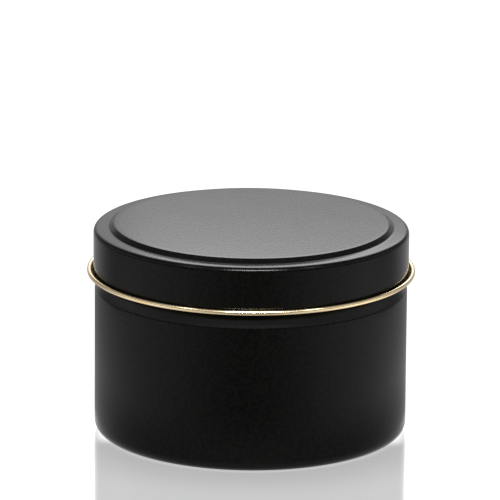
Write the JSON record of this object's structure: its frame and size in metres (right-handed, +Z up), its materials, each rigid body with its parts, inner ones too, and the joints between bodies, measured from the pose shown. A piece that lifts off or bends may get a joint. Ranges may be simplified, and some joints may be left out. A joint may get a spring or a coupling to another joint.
{
  "type": "candle tin",
  "caption": "Round seamless slip-lid tin for pouring a container candle, with a raised-panel lid that lifts off and a rolled bead along the lid's lower edge.",
  "frame": {"origin": "centre of the foot ring, on the surface the tin stands on", "axes": "+Z up along the axis of the tin, towards the lid; round about Z, so X and Y are alike"},
  "size_m": [0.0802, 0.0802, 0.052],
  "materials": {
    "black_enamel": "satin black enamel outside and clear gold lacquer inside, on the same sheet of tin-plated steel"
  },
  "bodies": {
    "tin": {"tin_body": "black_enamel"},
    "lid": {"lid": "black_enamel"}
  },
  "joints": [
    {"name": "lid_lift", "type": "slide", "parent": "tin", "child": "lid", "axis": [0, 0, 1], "range_m": [0, 0.04]}
  ]
}
